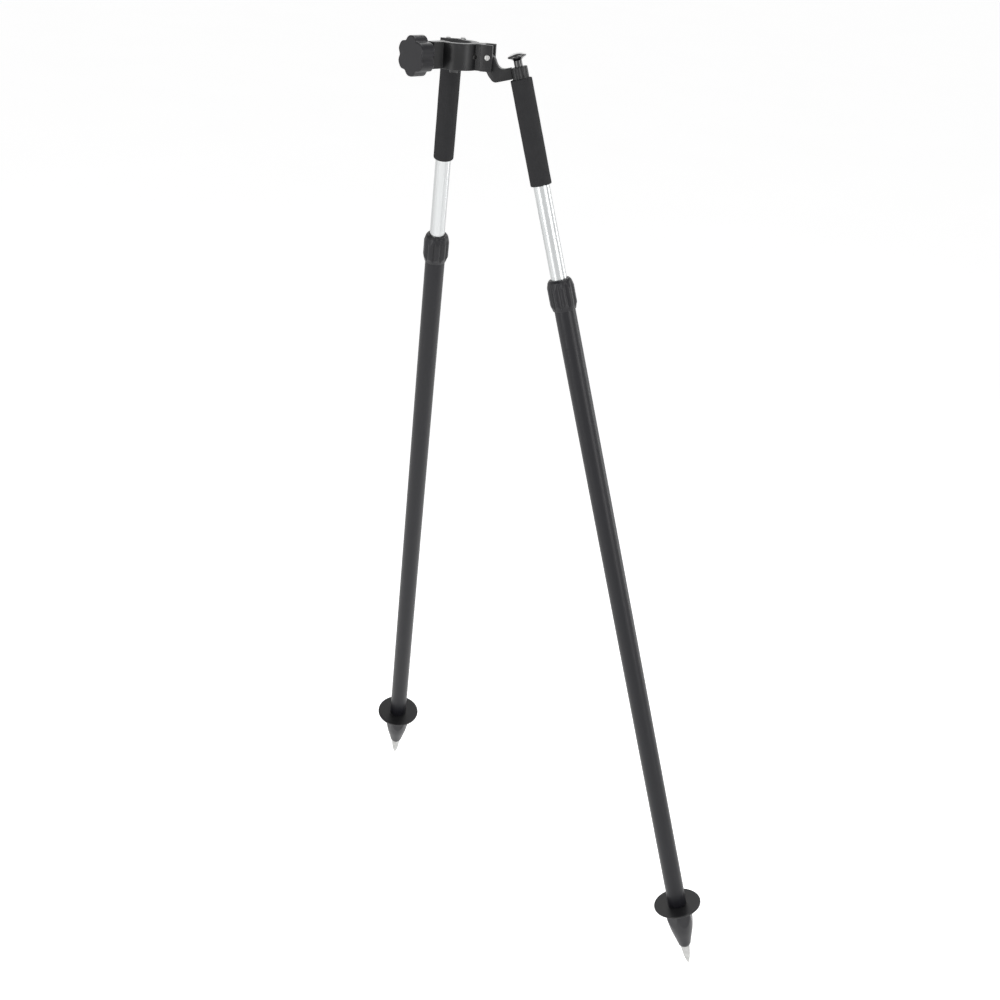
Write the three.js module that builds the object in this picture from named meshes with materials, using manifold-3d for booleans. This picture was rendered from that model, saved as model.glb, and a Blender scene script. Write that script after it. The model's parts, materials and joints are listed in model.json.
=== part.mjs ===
// Thumb-release telescopic bipod for a surveying pole.
//
// Millimetres, +Z up. The origin is on the axis of the clamped pole, at mid-height of the clamp.
// +Y halves the angle between the two legs, the clamp knob is on the -Y side and the clamp's
// mouth opens towards -X. Each leg is drawn in a frame of its own: its origin is on the leg's
// axis at the top of the grip, +Z runs up the leg and +X points away from the pole.

import * as THREE from 'three';
import { mergeVertices } from 'three/addons/utils/BufferGeometryUtils.js';
import Module from 'manifold-3d';

const wasm = await Module();
wasm.setup();

// ---------------------------------------------------------------- driving dimensions

const GAP = 0.3; // clearance between pieces that touch
const ROUND = 28; // sides of a large round piece
const SMALL_ROUND = 16; // sides of a small round piece

// clamp
const CLAMP_HEIGHT = 29;
const RING_RADIUS = 22.5;
const BORE_RADIUS = 13.5; // takes a 25.4 mm pole
const BOSS = { left: -13, right: -1.5, front: -36 }; // block that carries the clamp screw
const SCREW_X = -6.5; // the screw sits towards the mouth, so it pushes the pole home
const SCREW_RADIUS = 3;
const PAD = { radius: 4.5, thickness: 2.2, face: -13.6 };
const KNOB = { front: -66.4, thickness: 19, radius: 22, scallop: 3.4, lobes: 6, edge: 1.5 };
const KNOB_HUB = { radius: 8, length: 7.4 };
const GRUB = { radius: 2.5, azimuth: 10, length: 5, inset: 0.6, socket: 1.2, socketEnd: 3 };

// clevis and leg hinge, measured outwards from the pole axis and sideways from the leg's plane
const ARM_AZIMUTH = 35; // degrees either side of the X axis
const CLEVIS = { inner: 26.5, outer: 40.4, half: 10.8, slotBase: 30.2, slotHalf: 6 };
const LIP = [[26.5, 9], [26.5, 14.5], [30, 18.6], [31.2, 18.6], [31.2, 9]]; // on the mouth's far jaw
const NECK_HALF = 8;
const FOLD_RELIEF = 26.7; // the slot's base is cut back to here at its lower end
const HINGE = { out: 34.8, up: 1 };
const PIN_RADIUS = 2.3;
const PIN_HEAD = { radius: 3.1, thickness: 0.8 };
const WASHER_THICKNESS = 0.8;
const ARM_THICKNESS = 9.2;
const ARM_EYE = 4.3;

// leg
const LEG_TILT = 15.5; // degrees from the pole
const LEG_TOP = { out: 73, up: -19.5 }; // top of the grip, from the pole axis
const RIBS = 10; // ribs round the leg head and lobes round the locking collar
const SHORTER_REAR = 5.4; // the rear leg is drawn out a little less
const GRIP = { radius: 12.4, length: 120, edge: 2.5 };
const UPPER = { radius: 9.525, bore: 8.325, end: 940 };
const HEAD = { radius: 9.5, valley: 8.7, top: 13.3, plug: 8, plugEnd: 24, well: 5.05, wellEnd: 14.3 };
const HEAD_SCREW = { up: 2.7, azimuth: 29, radius: 1.3 };
const BUTTON = { cap: 10.8, rim: 24.6, dome: 28.6, stem: 4.75, under: 20.4, base: 5 };
const ROD_RADIUS = 3;
const SPRING = { wire: 0.45, radius: 4, turns: 6 };

// lock inside the lower tube
const LOWER = { radius: 12.7, bore: 11.2, top: 246, end: 1121.7 };
const SLIDE_RADIUS = 10.9; // what runs inside the lower tube
const BUSH = { top: 940.3, end: 954 };
const SHOE = { top: 958, end: 978, split: 0.8 };
const WEDGE = { top: 956, end: 984, small: 4, large: 6.6 };

// locking collar
const COLLAR = { top: 231.3, end: 268.6, valley: 14.4, lobe: 16.4, bore: 13 };
const COLLAR_EDGE = { lip: 2.6, topBevel: 9.8, endBevel: 7.5, endLip: 3.5, wall: 0.9 };
const COLLET = { top: 234.3, end: 264, radius: 12.3 };

// foot
const DISC = { radius: 32.3, top: 1122, thickness: 2.5 };
const CONE_END = 1192.2;
const CONE_FLANK = [[20, 1126.3], [18.6, 1144.8], [15.4, 1164.2], [10.8, 1181.2], [8.4, 1190.2]];
const CONE_RIMS = { top: 19.6, end: 7.4 };
const CONE_FLATS = 17; // the cone's six flats are this far from the axis
const POINT = { shank: 6, shoulder: 6.9, top: 1112, end: 1223.9 };
const PLUG_TOP = 1105;

// ---------------------------------------------------------------- finishes

const FINISH = {
  black: { color: 0x2c2c2f, roughness: 0.45, metalness: 0.6 },
  tube: { color: 0x2f2f33, roughness: 0.4, metalness: 0.6 },
  plastic: { color: 0x262628, roughness: 0.55, metalness: 0 },
  gloss: { color: 0x111113, roughness: 0.15, metalness: 0 },
  foam: { color: 0x1f1f21, roughness: 0.95, metalness: 0 },
  bright: { color: 0xcfd3d4, roughness: 0.3, metalness: 1 },
  steel: { color: 0xa9a9a8, roughness: 0.35, metalness: 1 },
  nylon: { color: 0xdad7cc, roughness: 0.5, metalness: 0 },
};

// ---------------------------------------------------------------- solids

const radians = THREE.MathUtils.degToRad;

// A closed, outward-facing solid from any three.js geometry.
function toSolid(geometry) {
  const bare = geometry.clone();
  bare.deleteAttribute('normal');
  bare.deleteAttribute('uv');
  const welded = mergeVertices(bare);
  const position = welded.attributes.position;
  const index = welded.index.array;
  const triangles = [];
  let volume = 0;
  const corner = [new THREE.Vector3(), new THREE.Vector3(), new THREE.Vector3()];
  for (let i = 0; i < index.length; i += 3) {
    const [a, b, c] = index.slice(i, i + 3);
    if (a === b || b === c || a === c) continue;
    triangles.push(a, b, c);
    [a, b, c].forEach((vertex, k) => corner[k].fromBufferAttribute(position, vertex));
    volume += corner[0].dot(corner[1].clone().cross(corner[2]));
  }
  if (volume < 0) triangles.reverse();
  const mesh = new wasm.Mesh({
    numProp: 3,
    vertProperties: new Float32Array(position.array),
    triVerts: new Uint32Array(triangles),
  });
  return new wasm.Manifold(mesh);
}

function toGeometry(solid) {
  const mesh = solid.getMesh();
  const geometry = new THREE.BufferGeometry();
  geometry.setAttribute('position', new THREE.BufferAttribute(mesh.vertProperties, 3));
  geometry.setIndex(new THREE.BufferAttribute(mesh.triVerts, 1));
  geometry.computeVertexNormals();
  return geometry;
}

// A turned solid about Z. The profile is [radius, z] pairs.
function turned(profile, sides = ROUND) {
  const points = profile.map(([radius, z]) => new THREE.Vector2(radius, z));
  const geometry = new THREE.LatheGeometry(points, sides);
  geometry.rotateX(Math.PI / 2);
  return toSolid(geometry);
}

function rod(radius, low, high, sides = ROUND) {
  return turned([[0, low], [radius, low], [radius, high], [0, high]], sides);
}

function sleeve(inner, outer, low, high, sides = ROUND) {
  return turned([[inner, low], [outer, low], [outer, high], [inner, high], [inner, low]], sides);
}

function block(x, y, z) {
  const geometry = new THREE.BoxGeometry(x[1] - x[0], y[1] - y[0], z[1] - z[0]);
  geometry.translate((x[0] + x[1]) / 2, (y[0] + y[1]) / 2, (z[0] + z[1]) / 2);
  return toSolid(geometry);
}

// A plate with its outline in the XZ plane and its thickness centred on Y.
function plate(shape, thickness, curveSegments = 8) {
  const geometry = new THREE.ExtrudeGeometry(shape, {
    depth: thickness,
    bevelEnabled: false,
    curveSegments,
  });
  geometry.translate(0, 0, -thickness / 2);
  geometry.rotateX(Math.PI / 2);
  return toSolid(geometry);
}

function outline(points) {
  return new THREE.Shape(points.map(([x, y]) => new THREE.Vector2(x, y)));
}

// A cylinder along Y, centred on x and z.
function crossRod(radius, x, z, from, to, sides = SMALL_ROUND) {
  const geometry = new THREE.CylinderGeometry(radius, radius, to - from, sides);
  geometry.translate(x, (from + to) / 2, z);
  return toSolid(geometry);
}

// The solid turned about Z by an angle in degrees.
const turnedAbout = (solid, degrees) => solid.rotate([0, 0, degrees]);

function piece(name, solid, finish) {
  const mesh = new THREE.Mesh(toGeometry(solid), new THREE.MeshStandardMaterial(FINISH[finish]));
  mesh.name = name;
  return mesh;
}

// ---------------------------------------------------------------- clamp

// One clevis with its neck, drawn along +X. The neck is joined before the mouth is cut.
function neck() {
  return block([BORE_RADIUS + 2, CLEVIS.inner + 1], [-NECK_HALF, NECK_HALF], clampSpan());
}

function clampSpan() {
  return [-CLAMP_HEIGHT / 2, CLAMP_HEIGHT / 2];
}

function clevis() {
  const [low, high] = clampSpan();
  const cheeks = block([CLEVIS.inner, CLEVIS.outer], [-CLEVIS.half, CLEVIS.half], [low, high]);
  const slot = plate(
    outline([
      [CLEVIS.slotBase, high + 1],
      [CLEVIS.slotBase, 2],
      [FOLD_RELIEF, low - 1],
      [CLEVIS.outer + 1, low - 1],
      [CLEVIS.outer + 1, high + 1],
    ]),
    2 * CLEVIS.slotHalf,
  );
  const hole = crossRod(PIN_RADIUS + GAP, HINGE.out, HINGE.up, -CLEVIS.half - 1, CLEVIS.half + 1);
  return cheeks.subtract(slot).subtract(hole);
}

// Guides the pole into the mouth, beside the rear clevis.
function lip() {
  const geometry = new THREE.ExtrudeGeometry(outline(LIP), { depth: CLAMP_HEIGHT, bevelEnabled: false });
  geometry.translate(0, 0, -CLAMP_HEIGHT / 2);
  return toSolid(geometry);
}

function clampBody() {
  const [low, high] = clampSpan();
  const over = [low - 1, high + 1];
  let body = rod(RING_RADIUS, low, high, 56);
  body = body.add(block([BOSS.left, BOSS.right], [BOSS.front, -BORE_RADIUS], [low, high]));
  for (const azimuth of [ARM_AZIMUTH, 180 - ARM_AZIMUTH]) {
    body = body.add(turnedAbout(neck(), azimuth));
  }
  body = body.subtract(rod(BORE_RADIUS, ...over, 40));
  body = body.subtract(block([-60, 0], [-BORE_RADIUS, BORE_RADIUS], over));
  body = body.subtract(block([-60, BOSS.left], [-60, 0], over));
  for (const azimuth of [ARM_AZIMUTH, 180 - ARM_AZIMUTH]) {
    body = body.add(turnedAbout(clevis(), azimuth));
  }
  body = body.add(turnedAbout(lip(), 180 - ARM_AZIMUTH));
  const padDepth = PAD.face - PAD.thickness - 0.7;
  body = body.subtract(crossRod(SCREW_RADIUS + GAP, SCREW_X, 0, BOSS.front - 1, -BORE_RADIUS));
  body = body.subtract(crossRod(PAD.radius + 0.5, SCREW_X, 0, padDepth, 0));
  const grubHole = crossRod(GRUB.radius + GAP, 0, 0, -RING_RADIUS - 1, -RING_RADIUS + GRUB.length + 1);
  return body.subtract(turnedAbout(grubHole, 90 + GRUB.azimuth));
}

function grubScrew() {
  const end = -RING_RADIUS + GRUB.length;
  const screw = crossRod(GRUB.radius, 0, 0, -RING_RADIUS + GRUB.inset, end);
  const socket = crossRod(GRUB.socket, 0, 0, -RING_RADIUS, -RING_RADIUS + GRUB.socketEnd, 6);
  return turnedAbout(screw.subtract(socket), 90 + GRUB.azimuth);
}

// A closed outline about the origin whose radius depends on the angle.
function roundOutline(steps, radiusAt) {
  const points = [];
  for (let i = 0; i < steps; i += 1) {
    const angle = (2 * Math.PI * i) / steps;
    const radius = radiusAt(angle);
    points.push([radius * Math.cos(angle), radius * Math.sin(angle)]);
  }
  return outline(points);
}

// Six-lobed hand knob on the -Y side, with a hub towards the clamp.
function clampKnob() {
  const shape = roundOutline(10 * KNOB.lobes, (angle) => {
    const wave = 0.5 - 0.5 * Math.cos(KNOB.lobes * (angle - Math.PI / 2));
    return KNOB.radius - KNOB.scallop * wave ** 2;
  });
  const bevel = KNOB.edge;
  const geometry = new THREE.ExtrudeGeometry(shape, {
    depth: KNOB.thickness - 2 * bevel,
    bevelThickness: bevel,
    bevelSize: bevel,
    bevelOffset: -bevel,
    bevelSegments: 1,
  });
  geometry.rotateX(Math.PI / 2);
  geometry.translate(SCREW_X, KNOB.front + KNOB.thickness - bevel, 0);
  const rear = KNOB.front + KNOB.thickness;
  const hub = crossRod(KNOB_HUB.radius, SCREW_X, 0, rear - 2, rear + KNOB_HUB.length, ROUND);
  const hole = crossRod(SCREW_RADIUS + GAP, SCREW_X, 0, KNOB.front + 4, rear + 10);
  return toSolid(geometry).add(hub).subtract(hole);
}

function clampStud() {
  return crossRod(SCREW_RADIUS, SCREW_X, 0, KNOB.front + 4.5, PAD.face - PAD.thickness - GAP);
}

function pressurePad() {
  return crossRod(PAD.radius, SCREW_X, 0, PAD.face - PAD.thickness, PAD.face);
}

// ---------------------------------------------------------------- leg hinge (drawn along +X)

function pivotPin() {
  const face = CLEVIS.half + GAP;
  const end = face + PIN_HEAD.thickness;
  const shank = crossRod(PIN_RADIUS, HINGE.out, HINGE.up, -face - 0.1, face + 0.1);
  const head = crossRod(PIN_HEAD.radius, HINGE.out, HINGE.up, -end, -face);
  const rivet = crossRod(PIN_HEAD.radius, HINGE.out, HINGE.up, face, end);
  return shank.add(head).add(rivet);
}

function pivotWasher(side) {
  const inner = ARM_THICKNESS / 2 + GAP;
  const faces = [side * inner, side * (inner + WASHER_THICKNESS)].sort((a, b) => a - b);
  const disc = crossRod(ARM_EYE - 0.2, HINGE.out, HINGE.up, ...faces);
  const hole = crossRod(PIN_RADIUS + GAP, HINGE.out, HINGE.up, faces[0] - 1, faces[1] + 1);
  return disc.subtract(hole);
}

// ---------------------------------------------------------------- leg pieces (leg frame)

// The hinge pin seen from the leg's own frame.
function pinInLeg() {
  const tilt = radians(LEG_TILT);
  const out = HINGE.out - LEG_TOP.out;
  const up = HINGE.up - LEG_TOP.up;
  return {
    x: out * Math.cos(tilt) + up * Math.sin(tilt),
    z: up * Math.cos(tilt) - out * Math.sin(tilt),
  };
}

// J-shaped plate from the hinge pin down, out and up to the leg head.
function hingeArm() {
  const pin = pinInLeg();
  const end = -HEAD.radius + 1;
  const shape = new THREE.Shape();
  shape.moveTo(end, 1.3);
  shape.lineTo(-27.5, 1.3);
  shape.quadraticCurveTo(-31, 1.3, -33, 4.4);
  shape.lineTo(-35.6, 9.6);
  shape.lineTo(-38.2, 18.5);
  shape.lineTo(pin.x - ARM_EYE, pin.z);
  shape.absarc(pin.x, pin.z, ARM_EYE, Math.PI, 0.25, true);
  shape.quadraticCurveTo(-24.4, 29, -24, 24);
  shape.quadraticCurveTo(-23.5, 14, -14, 14);
  shape.lineTo(end, 14);
  shape.closePath();
  const arm = plate(shape, ARM_THICKNESS);
  const hole = crossRod(PIN_RADIUS + GAP, pin.x, pin.z, -ARM_THICKNESS, ARM_THICKNESS);
  return arm.subtract(hole).subtract(rod(HEAD.radius + GAP, -5, 20));
}

function legHead() {
  const outer = turned([
    [HEAD.well, HEAD.top],
    [HEAD.well, -HEAD.wellEnd],
    [ROD_RADIUS + 0.4, -HEAD.wellEnd],
    [ROD_RADIUS + 0.4, -HEAD.plugEnd],
    [HEAD.plug, -HEAD.plugEnd],
    [HEAD.plug, GAP],
    [HEAD.radius, GAP],
    [HEAD.radius, HEAD.top - 0.8],
    [HEAD.radius - 0.8, HEAD.top],
    [HEAD.well, HEAD.top],
  ]);
  const ribs = lobedRing(HEAD.valley, HEAD.radius, -HEAD.plugEnd - 1, HEAD.top + 1);
  const { up, azimuth, radius } = HEAD_SCREW;
  const hole = crossRod(radius, 0, up, -HEAD.radius - 1, -HEAD.well + 1);
  return outer.intersect(turnedAbout(ribs, 180 / RIBS)).subtract(turnedAbout(hole, azimuth));
}

function headScrew() {
  const { up, azimuth, radius } = HEAD_SCREW;
  const screw = crossRod(radius - GAP, 0, up, -HEAD.valley + 0.4, -HEAD.well - GAP, 12);
  return turnedAbout(screw, azimuth);
}

function thumbButton() {
  return turned([
    [0, BUTTON.base],
    [BUTTON.stem, BUTTON.base],
    [BUTTON.stem, BUTTON.under],
    [BUTTON.stem + 1.6, BUTTON.under + 1.6],
    [BUTTON.cap - 0.8, BUTTON.rim - 1],
    [BUTTON.cap, BUTTON.rim],
    [BUTTON.cap - 0.9, BUTTON.rim + 1.2],
    [BUTTON.cap * 0.55, BUTTON.dome - 0.7],
    [0, BUTTON.dome],
  ], 28);
}

function releaseRod() {
  return rod(ROD_RADIUS, -WEDGE.top + GAP, BUTTON.base - GAP, SMALL_ROUND);
}

class Helix extends THREE.Curve {
  constructor(radius, low, high, turns) {
    super();
    Object.assign(this, { radius, low, high, turns });
  }

  getPoint(t, target = new THREE.Vector3()) {
    const angle = 2 * Math.PI * this.turns * t;
    const z = THREE.MathUtils.lerp(this.low, this.high, t);
    return target.set(this.radius * Math.cos(angle), this.radius * Math.sin(angle), z);
  }
}

function buttonSpring() {
  const section = new THREE.Shape();
  section.absarc(0, 0, SPRING.wire, 0, 2 * Math.PI, false);
  const low = -HEAD.wellEnd + SPRING.wire + GAP;
  const high = BUTTON.base - SPRING.wire - GAP;
  const path = new Helix(SPRING.radius, low, high, SPRING.turns);
  return toSolid(new THREE.ExtrudeGeometry(section, {
    steps: 8 * SPRING.turns,
    extrudePath: path,
    curveSegments: 5,
  }));
}

function foamGrip() {
  const { radius, length, edge } = GRIP;
  const bore = UPPER.radius + GAP;
  return turned([
    [bore, -length],
    [radius - edge, -length],
    [radius - 0.3 * edge, -length + 0.3 * edge],
    [radius, -length + edge],
    [radius, -0.6 * edge],
    [radius - 0.6 * edge, 0],
    [HEAD.radius + GAP, 0],
    [bore, -1],
    [bore, -length],
  ]);
}

function upperTube() {
  return sleeve(UPPER.bore, UPPER.radius, -UPPER.end, -1.2);
}

// Guide at the end of the upper tube: a plug inside it and a flange that runs in the lower tube.
function endBush() {
  const plug = UPPER.bore - GAP;
  return turned([
    [ROD_RADIUS + 0.4, -BUSH.top + 18],
    [plug, -BUSH.top + 18],
    [plug, -BUSH.top],
    [SLIDE_RADIUS, -BUSH.top],
    [SLIDE_RADIUS, -BUSH.end],
    [ROD_RADIUS + 0.4, -BUSH.end],
    [ROD_RADIUS + 0.4, -BUSH.top + 18],
  ], 28);
}

function wedgeRadius(station) {
  return THREE.MathUtils.mapLinear(station, WEDGE.top, WEDGE.end, WEDGE.small, WEDGE.large);
}

function lockWedge() {
  return turned([
    [0, -WEDGE.top],
    [WEDGE.small, -WEDGE.top],
    [WEDGE.large, -WEDGE.end],
    [WEDGE.large - 1, -WEDGE.end - 1],
    [0, -WEDGE.end - 1],
  ], 24);
}

// One of two half shoes that the wedge presses against the lower tube.
function lockShoe(side) {
  const top = wedgeRadius(SHOE.top) + GAP;
  const end = wedgeRadius(SHOE.end) + GAP;
  const whole = turned([
    [top, -SHOE.top],
    [SLIDE_RADIUS, -SHOE.top],
    [SLIDE_RADIUS, -SHOE.end],
    [end, -SHOE.end],
    [top, -SHOE.top],
  ], 32);
  const span = [SHOE.split, 20].map((y) => side * y).sort((a, b) => a - b);
  return whole.intersect(block([-20, 20], span, [-SHOE.end - 5, -SHOE.top + 5]));
}

function lowerTube() {
  return sleeve(LOWER.bore, LOWER.radius, -LOWER.end, -LOWER.top);
}

// Split sleeve squeezed on the upper tube by the collar.
function collet() {
  const bore = UPPER.radius + GAP;
  return turned([
    [bore, -COLLET.top],
    [COLLET.radius - 1.2, -COLLET.top],
    [COLLET.radius, -LOWER.top + GAP + 2],
    [COLLET.radius, -LOWER.top + GAP],
    [SLIDE_RADIUS, -LOWER.top + GAP],
    [SLIDE_RADIUS, -COLLET.end],
    [bore, -COLLET.end],
    [bore, -COLLET.top],
  ]);
}

// A prism with broad lobes and narrow grooves round it.
function lobedRing(valley, lobe, low, high) {
  const shape = roundOutline(6 * RIBS, (angle) => {
    const wave = 0.5 + 0.5 * Math.cos(RIBS * angle);
    return valley + (lobe - valley) * Math.sqrt(wave);
  });
  const geometry = new THREE.ExtrudeGeometry(shape, { depth: high - low, bevelEnabled: false });
  geometry.translate(0, 0, low);
  return toSolid(geometry);
}

function lockingCollar() {
  const { top, end, valley, lobe, bore } = COLLAR;
  const edge = COLLAR_EDGE;
  const profile = turned([
    [0, -end],
    [bore + edge.wall, -end],
    [bore + edge.wall + 1, -end + edge.endLip],
    [lobe, -end + edge.endBevel],
    [lobe, -top - edge.topBevel],
    [valley, -top - edge.lip],
    [valley - 2, -top],
    [0, -top],
  ]);
  const lobes = lobedRing(valley, lobe, -end, -top);
  const mouth = rod(UPPER.radius + 0.4, -end, -top + 1);
  const well = rod(bore, -end - 1, -top - edge.lip);
  return profile.intersect(lobes).subtract(mouth).subtract(well);
}

function footPlug() {
  const hole = POINT.shank + GAP;
  return turned([
    [0, -PLUG_TOP],
    [SLIDE_RADIUS, -PLUG_TOP],
    [SLIDE_RADIUS, -LOWER.end],
    [hole, -LOWER.end],
    [hole, -POINT.top + GAP],
    [0, -POINT.top + GAP],
  ], 28);
}

function stepDisc() {
  const low = -DISC.top - DISC.thickness;
  return sleeve(POINT.shank + GAP, DISC.radius, low, -DISC.top, 40);
}

// Foot cone, hexagonal at the top, with each flat running out where the cone gets thinner.
function footCone() {
  const top = -DISC.top - DISC.thickness - GAP;
  const hole = POINT.shank + GAP;
  const cone = turned([
    [hole, top],
    [CONE_RIMS.top, top],
    ...CONE_FLANK.map(([radius, station]) => [radius, -station]),
    [CONE_RIMS.end, -CONE_END],
    [hole, -CONE_END],
    [hole, top],
  ], 36);
  const hexagon = rod(CONE_FLATS / Math.cos(Math.PI / 6), -CONE_END - 1, top + 1, 6);
  return cone.intersect(hexagon);
}

function steelPoint() {
  return turned([
    [0, -POINT.top],
    [POINT.shank, -POINT.top],
    [POINT.shank, -CONE_END - GAP],
    [POINT.shoulder - 0.5, -CONE_END - GAP],
    [POINT.shoulder - 0.5, -CONE_END - 3],
    [1.6, -POINT.end + 1.2],
    [0, -POINT.end],
  ], 24);
}

// ---------------------------------------------------------------- assembly

function lowerLeg(leg) {
  const group = new THREE.Group();
  group.add(
    piece(`${leg}_lower_tube`, lowerTube(), 'tube'),
    piece(`${leg}_collet`, collet(), 'nylon'),
    piece(`${leg}_collar`, lockingCollar(), 'plastic'),
    piece(`${leg}_foot_plug`, footPlug(), 'black'),
    piece(`${leg}_step_disc`, stepDisc(), 'black'),
    piece(`${leg}_foot_cone`, footCone(), 'plastic'),
    piece(`${leg}_steel_point`, steelPoint(), 'steel'),
  );
  return group;
}

function upperLeg(leg) {
  const group = new THREE.Group();
  group.add(
    piece(`${leg}_arm`, hingeArm(), 'black'),
    piece(`${leg}_head`, legHead(), 'black'),
    piece(`${leg}_head_screw`, headScrew(), 'black'),
    piece(`${leg}_grip`, foamGrip(), 'foam'),
    piece(`${leg}_upper_tube`, upperTube(), 'bright'),
    piece(`${leg}_end_bush`, endBush(), 'nylon'),
    piece(`${leg}_button`, thumbButton(), 'gloss'),
    piece(`${leg}_button_spring`, buttonSpring(), 'steel'),
    piece(`${leg}_release_rod`, releaseRod(), 'steel'),
    piece(`${leg}_lock_wedge`, lockWedge(), 'steel'),
    piece(`${leg}_lock_shoe_a`, lockShoe(1), 'nylon'),
    piece(`${leg}_lock_shoe_b`, lockShoe(-1), 'nylon'),
  );
  return group;
}

function legAssembly(leg, azimuth, shorter) {
  const plane = new THREE.Group();
  plane.rotation.z = radians(azimuth);
  plane.add(
    piece(`${leg}_pivot_pin`, pivotPin(), 'bright'),
    piece(`${leg}_pivot_washer_a`, pivotWasher(1), 'nylon'),
    piece(`${leg}_pivot_washer_b`, pivotWasher(-1), 'nylon'),
  );
  const frame = new THREE.Group();
  frame.position.set(LEG_TOP.out, 0, LEG_TOP.up);
  frame.rotation.y = -radians(LEG_TILT);
  const lower = lowerLeg(leg);
  lower.position.z = shorter;
  frame.add(upperLeg(leg), lower);
  plane.add(frame);
  return plane;
}

const bipod = new THREE.Group();
bipod.add(
  piece('clamp_body', clampBody(), 'black'),
  piece('clamp_grub_screw', grubScrew(), 'steel'),
  piece('clamp_knob', clampKnob(), 'plastic'),
  piece('clamp_stud', clampStud(), 'steel'),
  piece('pressure_pad', pressurePad(), 'nylon'),
  legAssembly('right', ARM_AZIMUTH, 0),
  legAssembly('rear', 180 - ARM_AZIMUTH, SHORTER_REAR),
);

export default bipod;
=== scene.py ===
# %% [markdown]
# # A thumb-release bipod for a surveying pole
# A short clamp grips the pole, and two telescopic legs hinge from it. Every moving piece already
# has its place and its joint in the CAD frame. This lesson builds a fine surface for each visible
# piece round that frame, gives it a finish, and lights it. Lengths are in millimetres while a
# piece is drawn, and in metres once it is in the scene.

# %% Load the frame
import json
import math

import bmesh
import bpy
from mathutils import Matrix, Vector


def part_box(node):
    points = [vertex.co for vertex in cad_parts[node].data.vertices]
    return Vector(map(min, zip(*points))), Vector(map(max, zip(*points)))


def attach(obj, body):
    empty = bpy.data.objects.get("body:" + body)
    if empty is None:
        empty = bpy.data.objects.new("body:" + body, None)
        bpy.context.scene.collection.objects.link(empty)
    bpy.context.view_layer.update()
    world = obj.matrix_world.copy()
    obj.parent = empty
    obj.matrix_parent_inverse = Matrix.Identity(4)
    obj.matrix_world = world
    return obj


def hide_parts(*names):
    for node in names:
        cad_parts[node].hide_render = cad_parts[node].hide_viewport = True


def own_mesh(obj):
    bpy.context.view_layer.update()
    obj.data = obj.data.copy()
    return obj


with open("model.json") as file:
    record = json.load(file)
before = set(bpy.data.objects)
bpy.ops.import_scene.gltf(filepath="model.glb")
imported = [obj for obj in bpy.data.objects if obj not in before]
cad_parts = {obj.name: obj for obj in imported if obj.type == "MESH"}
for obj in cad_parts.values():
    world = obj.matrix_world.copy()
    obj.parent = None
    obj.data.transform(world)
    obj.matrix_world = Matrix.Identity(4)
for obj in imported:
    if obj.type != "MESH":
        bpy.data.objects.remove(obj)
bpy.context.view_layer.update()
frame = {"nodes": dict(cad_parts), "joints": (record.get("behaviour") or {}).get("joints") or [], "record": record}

MM = 0.001
RECORD = frame["record"]
BODY_OF = {node: body for body, nodes in RECORD["behaviour"]["bodies"].items() for node in nodes}
SLOT_OF = {part["node"]: part["material_slot"] for part in RECORD["subparts"]}
JOINTS = {joint["name"]: joint for joint in frame["joints"]}
LEGS = ("right", "rear")

# %% [markdown]
# ## Where things are
# A leg leans, so its own straight frame is easier to draw in: up is along the leg, side is along
# its hinge pin, and zero is at the top of its foam grip. The joints give these directions, and the
# CAD pieces give the heights and radii, so nothing here is placed by eye.

# %% Frames and measures
def leg_frame(leg):
    """Matrix from a leg's own frame to the scene."""
    up = -Vector(JOINTS[f"{leg}_leg_extend"]["axis"]).normalized()
    side = -Vector(JOINTS[f"{leg}_leg_fold"]["axis"]).normalized()
    on_axis = Vector(JOINTS[f"{leg}_collar_turn"]["pos_m"])
    grip = frame["nodes"][f"{leg}_grip"].data.vertices
    top = max(up.dot(vertex.co - on_axis) for vertex in grip)
    turned = Matrix((side.cross(up), side, up)).transposed().to_4x4()
    return Matrix.Translation(on_axis + up * top) @ turned


def axis_frame(point, along, upright):
    """Matrix whose Z runs along a direction, with its Y as near to upright as it can be."""
    z = Vector(along).normalized()
    x = Vector(upright).cross(z).normalized()
    return Matrix.Translation(Vector(point)) @ Matrix((x, z.cross(x), z)).transposed().to_4x4()


class Measure:
    """Heights and radii of a CAD piece about the Z axis of a frame, in millimetres."""

    def __init__(self, node, place):
        to_local = place.inverted()
        local = [to_local @ vertex.co / MM for vertex in frame["nodes"][node].data.vertices]
        radii = [math.hypot(point.x, point.y) for point in local]
        self.low, self.high = min(p.z for p in local), max(p.z for p in local)
        self.bore, self.radius = min(radii), max(radii)


LEG_FRAME = {leg: leg_frame(leg) for leg in LEGS}
for leg in LEGS:
    tube = Measure(f"{leg}_lower_tube", LEG_FRAME[leg])
    print(f"{leg} lower tube: {2 * tube.radius:.1f} mm across, {tube.high - tube.low:.0f} mm long")

# %% [markdown]
# ## Drawing tools
# Nearly every piece of a bipod is turned on a lathe, moulded in a round tool or cut from plate.
# So two builders do most of the work: one turns a profile about an axis, and the other gives an
# outline a thickness. Real edges are never sharp, so a corner helper rounds both.

# %% Turned and flat pieces
def crisp(piece, degrees=32):
    """Smooth shading, except over edges that turn by more than an angle."""
    piece.data.polygons.foreach_set("use_smooth", [True] * len(piece.data.polygons))
    piece.data.set_sharp_from_angle(angle=math.radians(degrees))
    return piece


def skin(name, points, faces):
    """An object from points in millimetres, with its faces turned outwards."""
    mesh = bpy.data.meshes.new(name)
    mesh.from_pydata([[c * MM for c in point] for point in points], [], faces)
    work = bmesh.new()
    work.from_mesh(mesh)
    bmesh.ops.recalc_face_normals(work, faces=work.faces)
    work.to_mesh(mesh)
    work.free()
    piece = bpy.data.objects.new(name, mesh)
    bpy.context.scene.collection.objects.link(piece)
    return crisp(piece)


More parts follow.
